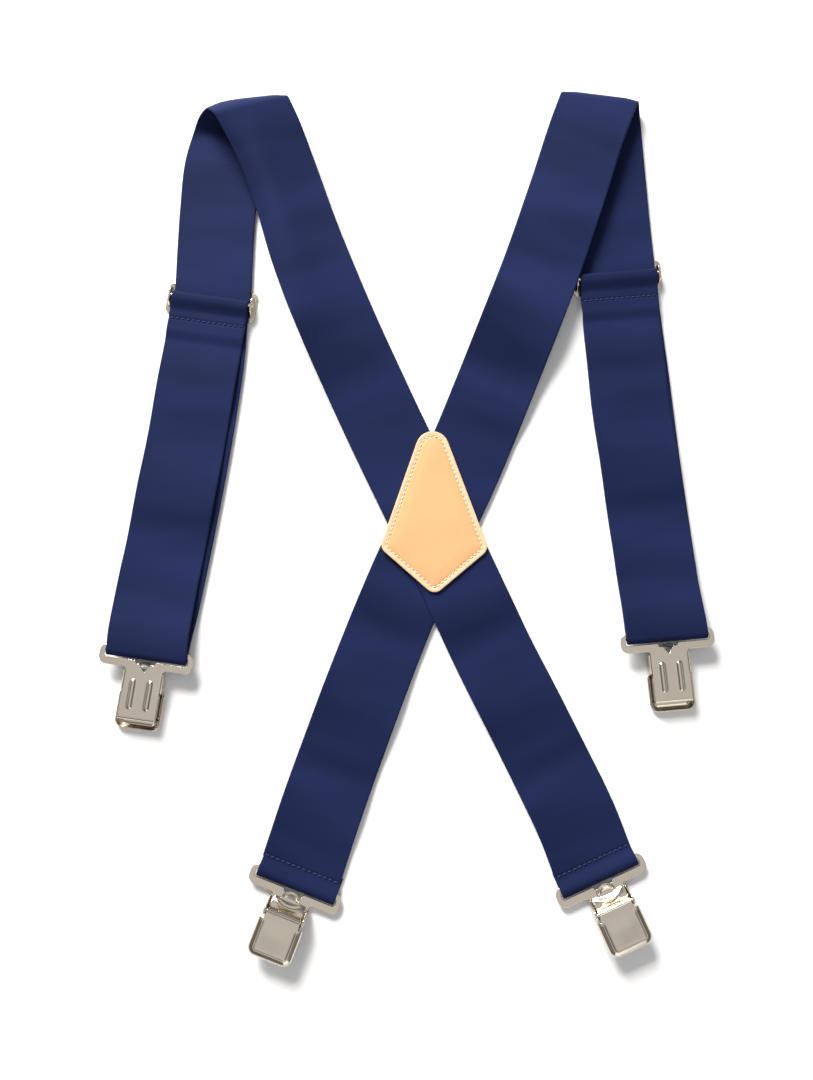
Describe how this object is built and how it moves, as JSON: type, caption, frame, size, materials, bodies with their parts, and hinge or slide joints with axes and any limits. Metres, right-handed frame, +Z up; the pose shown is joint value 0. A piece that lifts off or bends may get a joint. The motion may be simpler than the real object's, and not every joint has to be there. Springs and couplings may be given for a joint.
{
  "type": "suspenders",
  "caption": "Wide elastic X-back suspenders folded flat, with a leather patch at the crossing, slide adjusters on the front straps and lever clips on the strap ends.",
  "frame": {"origin": "middle of the crossing, on the underside of the backing patch, which is the surface the suspenders lie on", "axes": "+Y to the shoulder folds, +X across the straps to the right as seen from above, +Z up from the surface"},
  "size_m": [0.3782, 0.5569, 0.0195],
  "materials": {
    "navy_webbing": "woven elastic webbing with a soft satin sheen",
    "navy_thread": "twisted sewing thread",
    "cream_thread": "waxed sewing thread",
    "tan_leather": "smooth veg-tan leather with pale cut edges",
    "nickel_plate": "bright nickel plate on stamped steel",
    "grip_plastic": "moulded ridged pad"
  },
  "bodies": {
    "straps": {"left_strap_rear": "navy_webbing", "left_strap_lower": "navy_webbing", "left_strap_crossing": "navy_webbing", "left_strap_ramp": "navy_webbing", "left_strap_upper": "navy_webbing", "left_strap_fold": "navy_webbing", "left_strap_front": "navy_webbing", "right_strap_rear": "navy_webbing", "right_strap_lower": "navy_webbing", "right_strap_crossing": "navy_webbing", "right_strap_ramp": "navy_webbing", "right_strap_upper": "navy_webbing", "right_strap_fold": "navy_webbing", "right_strap_front": "navy_webbing", "left_hem_stitches": "navy_thread", "right_hem_stitches": "navy_thread", "crossing_patch": "tan_leather", "backing_patch": "tan_leather", "patch_stitches": "cream_thread"},
    "left_bight": {"left_strap_bight": "navy_webbing"},
    "left_adjuster": {"left_strap_tail": "navy_webbing", "left_tail_stitches": "navy_thread", "left_slide_frame": "nickel_plate", "left_slide_bar": "nickel_plate"},
    "right_bight": {"right_strap_bight": "navy_webbing"},
    "right_adjuster": {"right_strap_tail": "navy_webbing", "right_tail_stitches": "navy_thread", "right_slide_frame": "nickel_plate", "right_slide_bar": "nickel_plate"},
    "front_left_clip": {"front_left_plate": "nickel_plate", "front_left_pin": "nickel_plate", "front_left_grip": "grip_plastic"},
    "front_left_lever": {"front_left_lever": "nickel_plate"},
    "front_left_jaw": {"front_left_jaw": "nickel_plate"},
    "front_right_clip": {"front_right_plate": "nickel_plate", "front_right_pin": "nickel_plate", "front_right_grip": "grip_plastic"},
    "front_right_lever": {"front_right_lever": "nickel_plate"},
    "front_right_jaw": {"front_right_jaw": "nickel_plate"},
    "rear_left_clip": {"rear_left_plate": "nickel_plate", "rear_left_pin": "nickel_plate", "rear_left_grip": "grip_plastic"},
    "rear_left_lever": {"rear_left_lever": "nickel_plate"},
    "rear_left_jaw": {"rear_left_jaw": "nickel_plate"},
    "rear_right_clip": {"rear_right_plate": "nickel_plate", "rear_right_pin": "nickel_plate", "rear_right_grip": "grip_plastic"},
    "rear_right_lever": {"rear_right_lever": "nickel_plate"},
    "rear_right_jaw": {"rear_right_jaw": "nickel_plate"}
  },
  "joints": [
    {"name": "left_front_length", "type": "slide", "parent": "straps", "child": "left_bight", "axis": [-0.1409, -0.99, 0], "range_m": [-0.04, 0.12], "deforming": ["left_strap_bight"]},
    {"name": "left_adjuster_travel", "type": "slide", "parent": "left_bight", "child": "left_adjuster", "axis": [-0.1409, -0.99, 0], "range_m": [-0.04, 0.12], "deforming": ["left_strap_tail"]},
    {"name": "right_front_length", "type": "slide", "parent": "straps", "child": "right_bight", "axis": [0.0863, -0.9963, 0], "range_m": [-0.04, 0.12], "deforming": ["right_strap_bight"]},
    {"name": "right_adjuster_travel", "type": "slide", "parent": "right_bight", "child": "right_adjuster", "axis": [0.0863, -0.9963, 0], "range_m": [-0.04, 0.12], "deforming": ["right_strap_tail"]},
    {"name": "front_left_clip_swing", "type": "hinge", "parent": "left_bight", "child": "front_left_clip", "pos_m": [-0.17659, -0.07051, 0.0095], "axis": [0.99, -0.1409, 0], "range_deg": [-85, 85]},
    {"name": "front_left_lever_hinge", "type": "hinge", "parent": "front_left_clip", "child": "front_left_lever", "pos_m": [-0.17955, -0.0913, 0.0024], "axis": [0.99, -0.1409, 0], "range_deg": [0, 105]},
    {"name": "front_left_jaw_hinge", "type": "hinge", "parent": "front_left_clip", "child": "front_left_jaw", "pos_m": [-0.17761, -0.07764, 0.00885], "axis": [0.99, -0.1409, 0], "range_deg": [0, 5.25]},
    {"name": "front_right_clip_swing", "type": "hinge", "parent": "right_bight", "child": "front_right_clip", "pos_m": [0.14256, -0.05906, 0.0095], "axis": [0.9963, 0.0863, 0], "range_deg": [-85, 85]},
    {"name": "front_right_lever_hinge", "type": "hinge", "parent": "front_right_clip", "child": "front_right_lever", "pos_m": [0.14437, -0.07998, 0.0024], "axis": [0.9963, 0.0863, 0], "range_deg": [0, 105]},
    {"name": "front_right_jaw_hinge", "type": "hinge", "parent": "front_right_clip", "child": "front_right_jaw", "pos_m": [0.14318, -0.06624, 0.00885], "axis": [0.9963, 0.0863, 0], "range_deg": [0, 5.25]},
    {"name": "rear_left_clip_swing", "type": "hinge", "parent": "straps", "child": "rear_left_clip", "pos_m": [-0.08285, -0.20816, 0.00325], "axis": [-0.9336, 0.3584, 0], "range_deg": [-85, 85]},
    {"name": "rear_left_lever_hinge", "type": "hinge", "parent": "rear_left_clip", "child": "rear_left_lever", "pos_m": [-0.09038, -0.22777, 0.01035], "axis": [-0.9336, 0.3584, 0], "range_deg": [0, 105]},
    {"name": "rear_left_jaw_hinge", "type": "hinge", "parent": "rear_left_clip", "child": "rear_left_jaw", "pos_m": [-0.08543, -0.21488, 0.0039], "axis": [-0.9336, 0.3584, 0], "range_deg": [0, 5.25]},
    {"name": "rear_right_clip_swing", "type": "hinge", "parent": "straps", "child": "rear_right_clip", "pos_m": [0.09762, -0.20339, 0.00325], "axis": [-0.9135, -0.4067, 0], "range_deg": [-85, 85]},
    {"name": "rear_right_lever_hinge", "type": "hinge", "parent": "rear_right_clip", "child": "rear_right_lever", "pos_m": [0.10616, -0.22257, 0.01035], "axis": [-0.9135, -0.4067, 0], "range_deg": [0, 105]},
    {"name": "rear_right_jaw_hinge", "type": "hinge", "parent": "rear_right_clip", "child": "rear_right_jaw", "pos_m": [0.10055, -0.20996, 0.0039], "axis": [-0.9135, -0.4067, 0], "range_deg": [0, 5.25]}
  ],
  "couplings": [
    {"joint": "left_adjuster_travel", "follows": "left_front_length", "ratio": 1},
    {"joint": "right_adjuster_travel", "follows": "right_front_length", "ratio": 1},
    {"joint": "front_left_jaw_hinge", "follows": "front_left_lever_hinge", "ratio": 0.05},
    {"joint": "front_right_jaw_hinge", "follows": "front_right_lever_hinge", "ratio": 0.05},
    {"joint": "rear_left_jaw_hinge", "follows": "rear_left_lever_hinge", "ratio": 0.05},
    {"joint": "rear_right_jaw_hinge", "follows": "rear_right_lever_hinge", "ratio": 0.05}
  ]
}
